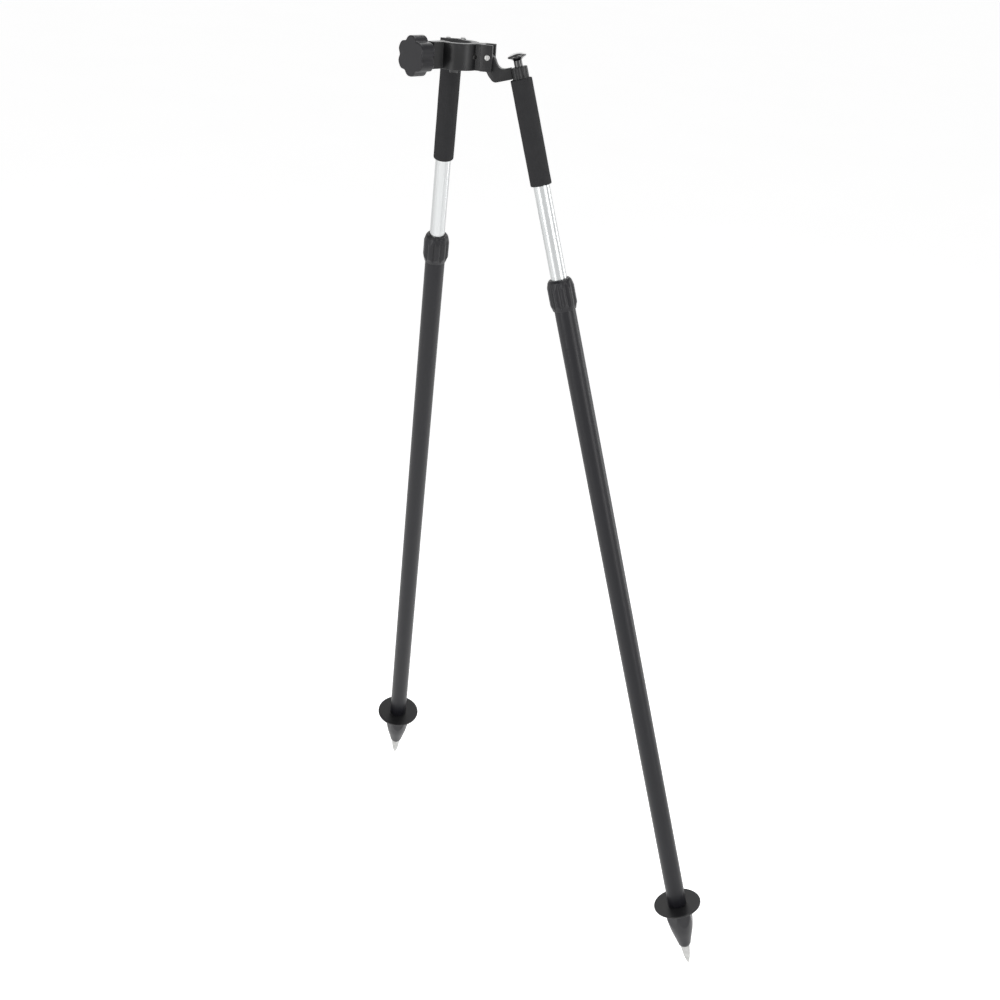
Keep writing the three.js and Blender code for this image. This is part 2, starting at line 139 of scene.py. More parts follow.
def bend(start, control, end, bits=8):
    """Points on a smooth bend between two points, pulled towards a third."""
    curve = []
    for i in range(bits + 1):
        t = i / bits
        weights = ((1 - t) ** 2, 2 * t * (1 - t), t * t)
        mixed = [[w * c for c in p] for w, p in zip(weights, (start, control, end))]
        curve.append(tuple(sum(column) for column in zip(*mixed)))
    return curve


def eased(corners, amount, bits=4):
    """An outline or profile with its corners rounded. A corner may give its own amount third."""
    on_axis = corners[0][0] == 0
    made = []
    for i, corner in enumerate(corners):
        here = Vector(corner[:2])
        reach = corner[2] if len(corner) > 2 else amount
        if reach == 0 or (on_axis and i in (0, len(corners) - 1)):
            made.append(tuple(here))
            continue
        before = Vector(corners[i - 1][:2]) - here
        after = Vector(corners[(i + 1) % len(corners)][:2]) - here
        reach = min(reach, 0.48 * before.length, 0.48 * after.length)
        start, end = here + before.normalized() * reach, here + after.normalized() * reach
        made += bend(start, here, end, bits)
    return made


def filled(profile, step):
    """A profile with points added, so that none of its stretches is longer than a step."""
    made = [profile[0]]
    for start, end in zip(profile, profile[1:]):
        count = max(1, math.ceil(math.dist(start, end) / step))
        for i in range(1, count + 1):
            made.append(tuple(a + (b - a) * i / count for a, b in zip(start, end)))
    return made


def turned(name, profile, steps=96, shape=None):
    """A profile of (radius, height) turned about Z, solid if it starts and ends on the axis."""
    points, rows = [], []
    for radius, height in profile:
        if radius < 1e-6:
            rows.append([len(points)] * steps)
            points.append((0, 0, height))
            continue
        rows.append(list(range(len(points), len(points) + steps)))
        for i in range(steps):
            angle = 2 * math.pi * i / steps
            reach = shape(angle, radius, height) if shape else radius
            points.append((reach * math.cos(angle), reach * math.sin(angle), height))
    pairs = list(zip(rows, rows[1:]))
    if profile[0][0] > 0:
        pairs.append((rows[-1], rows[0]))
    faces = []
    for lower, upper in pairs:
        for i in range(steps):
            j = (i + 1) % steps
            face = list(dict.fromkeys((lower[i], lower[j], upper[j], upper[i])))
            if len(face) > 2:
                faces.append(face)
    return skin(name, points, faces)


def plate(name, outline, low, high):
    """An outline given a thickness along Z."""
    count = len(outline)
    points = [(x, y, low) for x, y in outline] + [(x, y, high) for x, y in outline]
    faces = [list(range(count)), list(range(count, 2 * count))]
    faces += [[i, (i + 1) % count, count + (i + 1) % count, count + i] for i in range(count)]
    return skin(name, points, faces)


def hollow_profile(size):
    """The section of a plain ring or tube that has a CAD piece's measures."""
    low, high = size.low, size.high
    return [(size.bore, low), (size.radius, low), (size.radius, high), (size.bore, high)]


print("tools: turned, plate, hollow_profile")

# %% [markdown]
# ## Holes and edges
# A milled part starts as a block, then the cutter takes slots and holes out of it. The same order
# works here: cut the big slots, ease the edges, then drill the small holes so that they stay
# crisp. A modifier does each step, and its result is kept as the piece's own mesh.

# %% Cutting and edge easing
def keep_result(piece):
    """Makes what the modifiers show the piece's own mesh."""
    bpy.context.view_layer.update()
    shown = piece.evaluated_get(bpy.context.evaluated_depsgraph_get())
    mesh = bpy.data.meshes.new_from_object(shown)
    piece.modifiers.clear()
    piece.data = mesh
    return crisp(piece)


def cut(piece, *tools):
    """Takes each tool's shape out of a piece."""
    for tool in tools:
        modifier = piece.modifiers.new("cut", "BOOLEAN")
        modifier.operation = "DIFFERENCE"
        modifier.solver = "EXACT"
        modifier.object = tool
        keep_result(piece)
        bpy.data.objects.remove(tool)
    return piece


def eased_edges(piece, width, segments=3):
    """Rounds every edge of a piece that turns by more than 30 degrees."""
    modifier = piece.modifiers.new("edges", "BEVEL")
    modifier.width = width * MM
    modifier.segments = segments
    modifier.limit_method = "ANGLE"
    modifier.angle_limit = math.radians(30)
    modifier.use_clamp_overlap = False
    return keep_result(piece)


def rod(name, radius, low, high, place=None, steps=64):
    """A plain round tool for drilling, moved to a frame given in millimetres."""
    tool = turned(name, [(0, low), (radius, low), (radius, high), (0, high)], steps)
    if place is not None:
        tool.data.transform(Matrix.Scale(MM, 4) @ place @ Matrix.Scale(1 / MM, 4))
    return tool


print("tools: cut, eased_edges, rod")

# %% [markdown]
# ## Shader sums
# A finish is a few noises added and scaled. Written as node calls that is hard to read, so a
# small class wraps a socket and lets Python's own signs add the Math nodes.

# %% Signals and finishes
class Signal:
    """A number in a shader that can be added, scaled and taken from a plain number."""

    def __init__(self, shader, socket):
        self.shader = shader
        self.socket = socket

    def sum_of(self, operation, first, second):
        return self.shader.node("ShaderNodeMath", {"operation": operation}, {0: first, 1: second})

    def __add__(self, other):
        return self.sum_of("ADD", self, other)

    def __rsub__(self, other):
        return self.sum_of("SUBTRACT", other, self)

    def __mul__(self, other):
        return self.sum_of("MULTIPLY", self, other)

    __radd__ = __add__
    __rmul__ = __mul__


class Shader:
    """The nodes of a material or of the world, and the one node that they feed."""

    def __init__(self, owner, surface):
        owner.use_nodes = True
        self.tree = owner.node_tree
        self.surface = self.tree.nodes[surface]

    def node(self, kind, settings=None, inputs=None, output=0):
        """Adds a node: its settings first, then the values or links of its sockets."""
        made = self.tree.nodes.new(kind)
        for key, value in (settings or {}).items():
            if key == "stops":
                for element, (place, shade) in zip(made.color_ramp.elements, value):
                    element.position, element.color = place, (shade, shade, shade, 1)
            else:
                setattr(made, key, value)
        for key, value in (inputs or {}).items():
            if isinstance(value, Signal):
                self.tree.links.new(value.socket, made.inputs[key])
            else:
                made.inputs[key].default_value = value
        return Signal(self, made.outputs[output])

    def feed(self, socket, signal):
        self.tree.links.new(signal.socket, self.surface.inputs[socket])


class Finish(Shader):
    """A material being made. What is the same all over is set here on the surface's own sockets."""

    def __init__(self, name, gloss=0.5, **surface):
        self.material = bpy.data.materials.new(name)
        super().__init__(self.material, "Principled BSDF")
        self.surface.inputs["Specular IOR Level"].default_value = gloss
        for key, value in surface.items():
            self.surface.inputs[key.replace("_", " ")].default_value = value

    def spot(self, stretch=(1, 1, 1)):
        """The place on the piece in its own frame, squeezed or stretched along its axes."""
        place = self.node("ShaderNodeTexCoord", output="Object")
        settings = {"operation": "MULTIPLY"}
        return self.node("ShaderNodeVectorMath", settings, {0: place, 1: stretch})

    def noise(self, size, detail=3, stretch=(1, 1, 1)):
        """Soft random grain from 0 to 1. Size is that of its largest grains, in millimetres."""
        inputs = {"Vector": self.spot(stretch), "Scale": 1 / (size * MM), "Detail": detail}
        return self.node("ShaderNodeTexNoise", inputs=inputs)

    def ramp(self, signal, low, high):
        """0 up to the low value, 1 from the high one."""
        return self.node("ShaderNodeValToRGB", {"stops": ((low, 0), (high, 1))}, {"Fac": signal})

    def shade(self, factor, dark, light):
        """Base colour between two colours."""
        settings = {"data_type": "RGBA"}
        inputs = {0: factor, 6: (*dark, 1), 7: (*light, 1)}
        self.feed("Base Color", self.node("ShaderNodeMix", settings, inputs, output=2))

    def relief(self, height, depth):
        """Small bumps. Depth is in millimetres."""
        inputs = {"Height": height, "Distance": depth * MM, "Strength": 1.0}
        self.feed("Normal", self.node("ShaderNodeBump", inputs=inputs))

    def worn(self, width=0.5):
        """Where an edge is rubbed, broken up by noise. Width is in millimetres."""
        face = self.node("ShaderNodeNewGeometry", output="Normal")
        rounded = self.node("ShaderNodeBevel", {"samples": 4}, {"Radius": width * MM})
        settings = {"operation": "DOT_PRODUCT"}
        same = self.node("ShaderNodeVectorMath", settings, {0: face, 1: rounded}, output="Value")
        return self.ramp(1 - same, 0.02, 0.16) * self.ramp(self.noise(3.0), 0.42, 0.62)


print("shader tools: noise, ramp, shade, relief, worn")

# %% [markdown]
# ## Black anodised aluminium
# The clamp, arms, leg heads and step discs are milled or turned, lightly blasted and dyed black.
# The grain left by the blasting is under half a millimetre, and rubbed edges show a little grey.

# %% Anodised parts and tubes
def blasted_black():
    finish = Finish("black_anodised", 0.34)
    grain, cloud, worn = finish.noise(0.35, 2), finish.noise(18), finish.worn()
    finish.shade(worn * 0.5 + cloud * 0.04, (0.0045, 0.0045, 0.005), (0.12, 0.12, 0.125))
    finish.feed("Roughness", 0.3 + 0.06 * cloud + 0.05 * grain)
    finish.relief(grain, 0.006)
    return finish.material


def drawn_black():
    """Tube drawn through a die and dyed, so its grain runs along it."""
    finish = Finish("black_tube", 0.34)
    lines, cloud = finish.noise(0.5, 3, (1, 1, 0.01)), finish.noise(40, 2, (1, 1, 0.25))
    rubs = finish.ramp(finish.noise(1.6, 4, (1, 1, 0.05)), 0.66, 0.74)
    finish.shade(cloud * 0.08 + rubs * 0.25, (0.0036, 0.0036, 0.0055), (0.03, 0.03, 0.037))
    finish.feed("Roughness", 0.3 + 0.1 * lines + 0.06 * cloud)
    finish.relief(lines, 0.004)
    return finish.material


def drawn_bright():
    """Clear anodised tube, with the same lines along it."""
    finish = Finish("bright_tube", 0.5, Metallic=1.0)
    lines, cloud = finish.noise(0.4, 3, (1, 1, 0.008)), finish.noise(30, 2, (1, 1, 0.2))
    finish.shade(0.35 * lines + 0.65 * cloud, (0.48, 0.495, 0.5), (0.63, 0.64, 0.64))
    finish.feed("Roughness", 0.2 + 0.12 * lines + 0.05 * cloud)
    finish.relief(lines, 0.004)
    return finish.material


def turned_steel():
    """Bare steel from the lathe: fine rings round the axis, dulled a little by handling."""
    finish = Finish("turned_steel", 0.5, Metallic=1.0)
    rings, cloud = finish.noise(0.3, 2, (0.02, 0.02, 1)), finish.noise(5)
    finish.shade(cloud, (0.3, 0.3, 0.295), (0.5, 0.5, 0.49))
    finish.feed("Roughness", 0.22 + 0.16 * rings + 0.08 * cloud)
    finish.relief(rings, 0.01)
    return finish.material


def drawn_rod():
    """Plain aluminium rod, duller than the anodised tube."""
    finish = Finish("release_rod_metal", 0.5, Metallic=1.0)
    lines = finish.noise(0.4, 3, (1, 1, 0.02))
    finish.shade(lines, (0.5, 0.5, 0.5), (0.7, 0.7, 0.71))
    finish.feed("Roughness", 0.3 + 0.2 * lines)
    return finish.material


print("metals: anodised, black tube, bright tube, steel, rod")

# %% [markdown]
# ## Mouldings and foam
# The knob, collars and foot cones are glass-filled nylon with a fine spark-eroded texture. The
# button is polished. The grips are closed-cell foam: a dry, very matt skin, dimpled by its cells,
# which no smooth black plastic looks like.

# %% Plastics and foam
def moulded_black():
    finish = Finish("moulded_nylon", 0.33)
    texture, flow, worn = finish.noise(0.28, 2), finish.noise(14, 4), finish.worn(0.35)
    finish.shade(flow * 0.12 + worn * 0.3, (0.0062, 0.006, 0.0078), (0.05, 0.05, 0.055))
    finish.feed("Roughness", 0.27 + 0.1 * flow + 0.06 * texture)
    finish.relief(texture, 0.012)
    return finish.material


def polished_black():
    finish = Finish("polished_button", 0.6, Coat_Weight=0.6, Coat_Roughness=0.04)
    touch, dust = finish.noise(6, 4), finish.ramp(finish.noise(0.5, 2), 0.62, 0.72)
    finish.shade(dust * 0.4, (0.003, 0.003, 0.0035), (0.03, 0.03, 0.032))
    finish.feed("Roughness", 0.07 + 0.1 * touch + 0.12 * dust)
    return finish.material


def grip_foam():
    finish = Finish("grip_foam", 0.2)
    dimples_and_pit_shade = finish.node(
        "ShaderNodeTexVoronoi",
        {"feature": "SMOOTH_F1"},
        {"Vector": finish.spot(), "Scale": 1 / (0.9 * MM), "Smoothness": 0.4},
        "Distance",
    )
    patches, grain = finish.noise(9, 4), finish.noise(0.4, 3)
    # The colour is darker where the cells sink in: painted shade in the dimples, mixed with random tone patches.
    finish.shade(patches * 0.5 + dimples_and_pit_shade * 0.5, (0.0125, 0.0125, 0.0135), (0.026, 0.026, 0.0275))
    finish.feed("Roughness", 0.8 + 0.15 * grain)
    finish.relief(dimples_and_pit_shade + 0.5 * grain, 0.09)
    return finish.material


def natural_nylon():
    finish = Finish("natural_nylon", 0.5)
    flow = finish.noise(4, 4)
    finish.shade(flow, (0.55, 0.52, 0.44), (0.76, 0.74, 0.67))
    finish.feed("Roughness", 0.38 + 0.15 * flow)
    finish.relief(finish.noise(0.3, 2), 0.01)
    return finish.material


FINISHES = {
    "anodised": blasted_black(),
    "tube_black": drawn_black(),
    "tube_bright": drawn_bright(),
    "steel": turned_steel(),
    "rod": drawn_rod(),
    "moulded": moulded_black(),
    "gloss": polished_black(),
    "foam": grip_foam(),
    "nylon": natural_nylon(),
}
for node, model in frame["nodes"].items():
    model.data.materials.clear()
    model.data.materials.append(FINISHES[SLOT_OF[node]])
print(len(FINISHES), "finishes, one for each slot of the record")


def fit(piece, node, place):
    """Sets a finished piece in its frame, in the place of its CAD piece."""
    piece.data.materials.clear()
    piece.data.materials.append(FINISHES[SLOT_OF[node]])
    piece.matrix_world = place
    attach(piece, BODY_OF[node])
    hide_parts(node)


# %% [markdown]
# ## The clamp
# Seen from above, the clamp is one outline: a ring open on one side, a block for the screw, and
# two necks that widen into the forks for the legs. It is milled from plate, so it is drawn as that
# outline. The side mouth lets it go on a pole without threading it over the end, and the lip beside
# the rear fork guides the pole in.

# %% Clamp casting
RING, BORE = 22.5, 13.5
BOSS_LEFT, BOSS_RIGHT, BOSS_FRONT = -13, -1.5, -36
FORK_IN, FORK_OUT, FORK_HALF, NECK_HALF = 26.5, 40.4, 10.8, 8
SLOT_IN, SLOT_HALF = 30.2, 6
LIP = [(14.5, 26.5), (18.6, 30), (18.6, 31.2)]
PIN_ALONG, PIN_HEIGHT, PIN_BORE = 34.8, 1, 2.6
ARM_AZIMUTHS = {"right": 35, "rear": 145}
SCREW_X = -6.5
GRUB_AZIMUTH = 10


def arc(radius, start, end, step=3):
    """Points on a circle about the pole, from one angle to another in degrees."""
    count = max(2, round(abs(end - start) / step))
    angles = [math.radians(start + (end - start) * i / count) for i in range(count + 1)]
    return [(radius * math.cos(angle), radius * math.sin(angle)) for angle in angles]


def from_pole(azimuth, along, across):
    """A point given outwards from the pole at an azimuth, and across that direction."""
    angle = math.radians(azimuth)
    return (
        along * math.cos(angle) - across * math.sin(angle),
        along * math.sin(angle) + across * math.cos(angle),
    )


def clamp_outline():
    rear, right = ARM_AZIMUTHS["rear"], ARM_AZIMUTHS["right"]
    on_ring = math.sqrt(RING**2 - NECK_HALF**2)
    spread = math.degrees(math.asin(NECK_HALF / RING))
    lip = [from_pole(rear, along, across) for across, along in LIP]
    corner = from_pole(rear, FORK_IN, -FORK_HALF)
    share = (BORE - lip[0][1]) / (corner[1] - lip[0][1])
    hook = (lip[0][0] + share * (corner[0] - lip[0][0]), BORE)
    line = [(BOSS_LEFT, -BORE)] + arc(BORE, -90, 90) + [hook] + lip
    line += [from_pole(rear, LIP[-1][1], FORK_HALF), from_pole(rear, FORK_OUT, FORK_HALF)]
    line += [from_pole(rear, FORK_OUT, -FORK_HALF), corner]
    line += [from_pole(rear, FORK_IN, -NECK_HALF), from_pole(rear, on_ring, -NECK_HALF)]
    line += arc(RING, rear - spread, right + spread)[1:-1]
    line += [from_pole(right, on_ring, NECK_HALF), from_pole(right, FORK_IN, NECK_HALF)]
    line += [from_pole(right, FORK_IN, FORK_HALF), from_pole(right, FORK_OUT, FORK_HALF)]
    line += [from_pole(right, FORK_OUT, -FORK_HALF), from_pole(right, FORK_IN, -FORK_HALF)]
    line += [from_pole(right, FORK_IN, -NECK_HALF), from_pole(right, on_ring, -NECK_HALF)]
    line += arc(RING, right - spread, -90 + math.degrees(math.asin(BOSS_RIGHT / RING)))[1:]
    return line + [(BOSS_RIGHT, BOSS_FRONT), (BOSS_LEFT, BOSS_FRONT)]


def fork_slot(azimuth, low, high):
    """The slot that the arm swings in. Its foot is sloped so that the leg can fold to the pole."""
    over, under, outer = high + 1, low - 1, 44
    profile = [(SLOT_IN, over), (SLOT_IN, 2), (26.7, under), (outer, under), (outer, over)]
    tool = plate("fork_slot", profile, -SLOT_HALF, SLOT_HALF)
    upright = Matrix.Rotation(math.radians(90), 4, "X")
    tool.data.transform(Matrix.Rotation(math.radians(azimuth), 4, "Z") @ upright)
    return tool


def across_y(x, z=0):
    """A millimetre frame whose Z runs along -Y of the clamp."""
    return Matrix.Translation((x, 0, z)) @ Matrix.Rotation(math.radians(90), 4, "X")


low, high = (corner.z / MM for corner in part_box("clamp_body"))
clamp = plate("clamp_casting", clamp_outline(), low, high)
cut(clamp, *(fork_slot(azimuth, low, high) for azimuth in ARM_AZIMUTHS.values()))
eased_edges(clamp, 0.6)
for azimuth in ARM_AZIMUTHS.values():
    turn = Matrix.Rotation(math.radians(azimuth), 4, "Z")
    cut(clamp, rod("pin_hole", PIN_BORE, -13, 13, turn @ across_y(PIN_ALONG, PIN_HEIGHT)))
cut(clamp, rod("screw_hole", 3.3, 12, 38, across_y(SCREW_X)))
cut(clamp, rod("pad_seat", 5, 8, 16.5, across_y(SCREW_X)))
grub_turn = Matrix.Rotation(math.radians(90 + GRUB_AZIMUTH), 4, "Z")
cut(clamp, rod("grub_hole", 2.8, 16.5, 24, grub_turn @ across_y(0)))
fit(clamp, "clamp_body", Matrix.Identity(4))
print("clamp casting:", len(clamp.data.polygons), "faces")

# %% [markdown]
# ## Knob, screw and pad
# The knob is moulded round the head of its screw. Six broad lobes with narrow scallops between
# them give wet or gloved fingers a hold. The screw's thread is cut as a real ridge, because it
# shows in the gap behind the knob, and its nylon pad presses on the pole without marking it.

# %% Clamp knob
knob_frame = axis_frame((SCREW_X * MM, 0, 0), (0, -1, 0), (0, 0, 1))
KNOB_RADIUS, KNOB_THICKNESS, SCALLOP, KNOB_LOBES = 22.0, 19.0, 3.4, 6
KNOB_CORE, HUB, STUD_HOLE, STUD_DEPTH = 9, 8, 3.3, 4


def knob_shape(angle, radius, height):
    """Scallops that fade out towards the middle of the knob."""
    wave = 0.5 - 0.5 * math.cos(KNOB_LOBES * (angle - math.pi / 2))
    share = max(0.0, (radius - KNOB_CORE) / (KNOB_RADIUS - KNOB_CORE))
    return radius - SCALLOP * wave**2 * share


size = Measure("clamp_knob", knob_frame)
front, back, inner = size.high, size.high - KNOB_THICKNESS, size.high - STUD_DEPTH
profile = [(0, front - 0.2), (12, front - 0.2, 2), (KNOB_RADIUS, front - 0.3, 1.8)]
profile += [(KNOB_RADIUS, back, 1.8), (HUB, back + 0.2, 1), (HUB, size.low, 0.5)]
profile += [(STUD_HOLE, size.low, 0.3), (STUD_HOLE, inner, 0.3), (0, inner)]
profile = eased(profile, 0.5, 5)
knob = turned("hand_knob", filled(profile, 2.0), 240, knob_shape)
fit(knob, "clamp_knob", knob_frame)
print(f"knob: {2 * KNOB_RADIUS:.1f} mm across its lobes, {KNOB_LOBES} lobes")

# %% Clamp screw and pad
PITCH, THREAD_DEPTH = 1.0, 0.55


def thread_shape(angle, radius, height):
    """A one-start ridge that climbs by one pitch a turn."""
    turns = (height / PITCH + angle / (2 * math.pi)) % 1.0
    depth = abs(2 * turns - 1)
    return radius - THREAD_DEPTH * depth if radius > 1 else radius


size = Measure("clamp_stud", knob_frame)
profile = [(0, size.low), (2.4, size.low), (size.radius, size.low + 0.8)]
profile += [(size.radius, size.high - 0.3), (2.6, size.high), (0, size.high)]
screw = turned("clamp_screw", filled(profile, PITCH / 6), 32, thread_shape)
fit(screw, "clamp_stud", knob_frame)

size = Measure("pressure_pad", knob_frame)
profile = [(0, size.low), (size.radius, size.low), (size.radius, size.high), (0, size.high)]
fit(turned("pole_pad", eased(profile, 0.5), 72), "pressure_pad", knob_frame)


def hex_socket(angle, radius, height):
    """Turns the smallest radius into a hexagon for a key."""
    if radius > 1.5:
        return radius
    return radius * math.cos(math.pi / 6) / math.cos(angle % (math.pi / 3) - math.pi / 6)


def socket_screw(name, size, socket, floor):
    """A headless screw, with its key socket at the top."""
    low, high, radius = size.low, size.high, size.radius
    rim = [(0, low), (radius - 0.4, low), (radius, low + 0.4), (radius, high - 0.3)]
    rim += [(radius - 0.3, high), (socket, high), (socket, high - floor), (0, high - floor)]
    return turned(name, rim, 72, hex_socket)


outwards = Vector((*from_pole(GRUB_AZIMUTH, 1, 0), 0))
grub_frame = axis_frame((0, 0, 0), outwards, (0, 0, 1))
grub = socket_screw("ring_grub_screw", Measure("clamp_grub_screw", grub_frame), 1.25, 2.2)
fit(grub, "clamp_grub_screw", grub_frame)
print("screw, pad and grub screw fitted")

# %% [markdown]
# ## Hinges
# Each leg swings on a riveted steel pin between two nylon washers. The arm is a J cut from thick
# plate. Its hook lets the folded leg lie beside the pole while the hinge stays close to the ring.

# %% Pins, washers and arms
PIN_HEAD, PIN_SHANK, PIN_HOLE = 0.8, 2.3, 2.6
ARM_HALF, EYE, EYE_END, HEAD_SEAT = 4.6, 4.3, 0.25, 9.8


def hinge_pin(leg):
    """A riveted pin, with a dimple in each head, and the washers beside the arm."""
    joint = JOINTS[f"{leg}_leg_fold"]
    place = axis_frame(joint["pos_m"], joint["axis"], (0, 0, 1))
    size = Measure(f"{leg}_pivot_pin", place)
    end, head = size.high, size.radius
    under = end - PIN_HEAD
    upper = [(0, end - 0.25, 0), (0.9, end - 0.25, 0.2), (1.3, end, 0.3)]
    upper += [(head - 0.6, end - 0.1, 0.5), (head, end - 0.55, 0.2)]
    upper += [(head, under, 0.05), (PIN_SHANK, under, 0.05)]
    lower = [(radius, -height, ease) for radius, height, ease in reversed(upper)]
    fit(turned(f"{leg}_hinge_pin", eased(upper + lower, 0), 96), f"{leg}_pivot_pin", place)
    for side in "ab":
        node = f"{leg}_pivot_washer_{side}"
        ring = eased(hollow_profile(Measure(node, place)), 0.15)
        fit(turned(f"{leg}_hinge_washer_{side}", ring, 72), node, place)


def arm_outline(pin):
    """The J in the leg's plane: x outwards, y up the leg. It goes once round, foot first."""
    end, bottom, top, steps = -8.5, 1.3, 14, 24
    line = [(end, bottom)] + bend((-27.5, bottom), (-31, bottom), (-33, 4.4))
    line += [(-35.6, 9.6), (-38.2, 18.5), (pin.x - EYE, pin.z)]
    for i in range(1, steps):
        angle = math.pi - (math.pi - EYE_END) * i / steps
        line.append((pin.x + EYE * math.cos(angle), pin.z + EYE * math.sin(angle)))
    start = (pin.x + EYE * math.cos(EYE_END), pin.z + EYE * math.sin(EYE_END))
    line += bend(start, (-24.4, 29), (-24, 24))
    line += bend((-24, 24), (-23.5, top), (-14, top), 14)[1:]
    return line + [(end, top)]


def hinge_arm(leg):
    pin = LEG_FRAME[leg].inverted() @ Vector(JOINTS[f"{leg}_leg_fold"]["pos_m"]) / MM
    arm = plate(f"{leg}_hinge_arm", arm_outline(pin), -ARM_HALF, ARM_HALF)
    arm.data.transform(Matrix.Rotation(math.radians(90), 4, "X"))
    cut(arm, rod("head_seat", HEAD_SEAT, -6, 21))
    eased_edges(arm, 0.7)
    cut(arm, rod("arm_hole", PIN_HOLE, -8, 8, Matrix.Translation((0, 0, pin.z)) @ across_y(pin.x)))
    fit(arm, f"{leg}_arm", LEG_FRAME[leg])


for leg in LEGS:
    hinge_pin(leg)
    hinge_arm(leg)

# %% [markdown]
# ## Leg head and thumb button
# The head plugs into the tube and carries the button. Ten ribs round it give the hand something
# to push against while the thumb presses the button down. The button is a polished mushroom: its
# thin rim and hollow flank need a smooth curve, so its profile is drawn with bends.

# %% Heads and buttons
RIBS = 10
WELL, WELL_END, ROD_HOLE, RIB_VALLEY = 5.05, -14.3, 3.4, 8.7
HEAD_SCREW_AZIMUTH, HEAD_SCREW_HEIGHT = 29, 2.7
STEM = 4.75


def ribbed(valley, lobe, phase=0.0):
    """A shape that stays inside broad ribs with narrow grooves between them."""
    def shape(angle, radius, height):
        wave = 0.5 + 0.5 * math.cos(RIBS * (angle - phase))
        return min(radius, valley + (lobe - valley) * math.sqrt(wave))
    return shape


def leg_head(leg, place):
    size = Measure(f"{leg}_head", place)
    top, rib = size.high, size.radius
    inside = [(WELL, top, 0.3), (WELL, WELL_END, 0), (ROD_HOLE, WELL_END, 0)]
    inside += [(ROD_HOLE, size.low, 0)]
    outside = [(8, size.low, 0.4), (8, 0.3, 0), (rib, 0.3, 0.3)]
    outside += [(rib, top - 0.8, 0.4), (rib - 0.8, top, 0.3)]
    ribs = ribbed(RIB_VALLEY, rib, math.pi / RIBS)
    head = turned(f"{leg}_ribbed_head", eased(inside + outside, 0), 240, ribs)
    turn = Matrix.Rotation(math.radians(HEAD_SCREW_AZIMUTH), 4, "Z")
    cut(head, rod("screw_hole", 1.3, 4.5, 11, turn @ across_y(0, HEAD_SCREW_HEIGHT)))
    fit(head, f"{leg}_head", place)


def thumb_button(leg, place):
    size = Measure(f"{leg}_button", place)
    low, top, rim = size.low, size.high, size.radius
    neck, flank, brow = (STEM, top - 8.4), (rim - 1.5, top - 5.3), (rim - 0.4, top - 3.1)
    profile = [(0, low), (STEM - 0.3, low), (STEM, low + 0.3), neck]
    profile += bend(neck, (STEM + 1.1, top - 6.9), flank, 14)[1:]
    profile += bend(flank, (rim + 0.5, top - 4.5), brow, 10)[1:]
    profile += bend(brow, (rim * 0.55, top - 0.1), (0, top), 16)[1:]
    fit(turned(f"{leg}_thumb_button", profile, 128), f"{leg}_button", place)


def return_spring(leg, place):
    """The CAD spring stands on the well's floor. It gets a mesh of its own; the share that the button's travel
    would leave is worked out but not applied.
    """
    name, press = f"{leg}_button_spring", f"{leg}_button_press"
    spring, size = frame["nodes"][name], Measure(name, place)
    travel = JOINTS[press]["range_m"][1] / MM
    keep = 1 - travel / (size.high - size.low)
    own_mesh(spring)


for leg in LEGS:
    leg_head(leg, LEG_FRAME[leg])
    thumb_button(leg, LEG_FRAME[leg])
    return_spring(leg, LEG_FRAME[leg])
print("heads with", RIBS, "ribs, thumb buttons and their springs")

# %% [markdown]
# ## Grips and tubes
# The foam sleeve is pushed on with soapy water and never sits quite even, so its surface swells
# and dips by about a tenth of a millimetre. The tubes are plain, and all their character is in the
# lines that drawing leaves along them.

# %% Foam grips and tubes
SLEEVE_BORE, DIP = 11, 0.06


def uneven(seed):
    """Slow swells in the outer face of a foam sleeve."""
    def shape(angle, radius, height):
        if radius < SLEEVE_BORE:
            return radius
        swell = math.sin(height / 7.3 + seed) + math.sin(2 * angle + height / 11 + 2 * seed)
        return radius - DIP * (2 - swell) / 2
    return shape


def foam_grip(leg, place, seed):
    size = Measure(f"{leg}_grip", place)
    rounding = (0.6, 2.4, 1.3, 0.6)
    corners = [(*corner, ease) for corner, ease in zip(hollow_profile(size), rounding)]
    grip = turned(f"{leg}_foam_grip", filled(eased(corners, 1, 6), 2.5), 128, uneven(seed))
    fit(grip, f"{leg}_grip", place)


def plain_tube(name, node, place):
    ring = eased(hollow_profile(Measure(node, place)), 0.3)
    fit(turned(name, filled(ring, 60), 128), node, place)


for seed, leg in enumerate(LEGS):
    foam_grip(leg, LEG_FRAME[leg], seed)
    plain_tube(f"{leg}_inner_tube", f"{leg}_upper_tube", LEG_FRAME[leg])
    plain_tube(f"{leg}_outer_tube", f"{leg}_lower_tube", LEG_FRAME[leg])
print("grips, inner tubes and outer tubes fitted")

# %% [markdown]
# ## Locking collars
# A collar is a lobed nut moulded in nylon. Both ends are chamfered, so each lobe catches the light
# twice. The lobes are made by keeping the turned profile inside a ribbed outline, which gives the
# chamfers their curved edges without any cutting.

# %% Collars
COLLAR_THROAT, COLLAR_BORE, COLLAR_LIP, COLLAR_VALLEY = 9.93, 13, 2.5, 14.4


def locking_collar(leg, place):
    size = Measure(f"{leg}_collar", place)
    low, high, lobe = size.low, size.high, size.radius
    lip = high - COLLAR_LIP
    outside = [(13.9, low, 0.3), (14.9, low + 3.5, 0.4), (lobe, low + 7.5, 0.5)]
    outside += [(lobe, high - 9.8, 0.5), (14.4, high - 2.6, 0.4), (12.4, high, 0.4)]
    inside = [(COLLAR_THROAT, high, 0.4), (COLLAR_THROAT, lip, 0)]
    inside += [(COLLAR_BORE, lip, 0), (COLLAR_BORE, low, 0)]
    line = filled(eased(outside + inside, 0), 1.2)
    collar = turned(f"{leg}_lobed_collar", line, 240, ribbed(COLLAR_VALLEY, lobe))
    fit(collar, f"{leg}_collar", place)


for leg in LEGS:
    locking_collar(leg, LEG_FRAME[leg])
print("collars with", RIBS, "lobes")

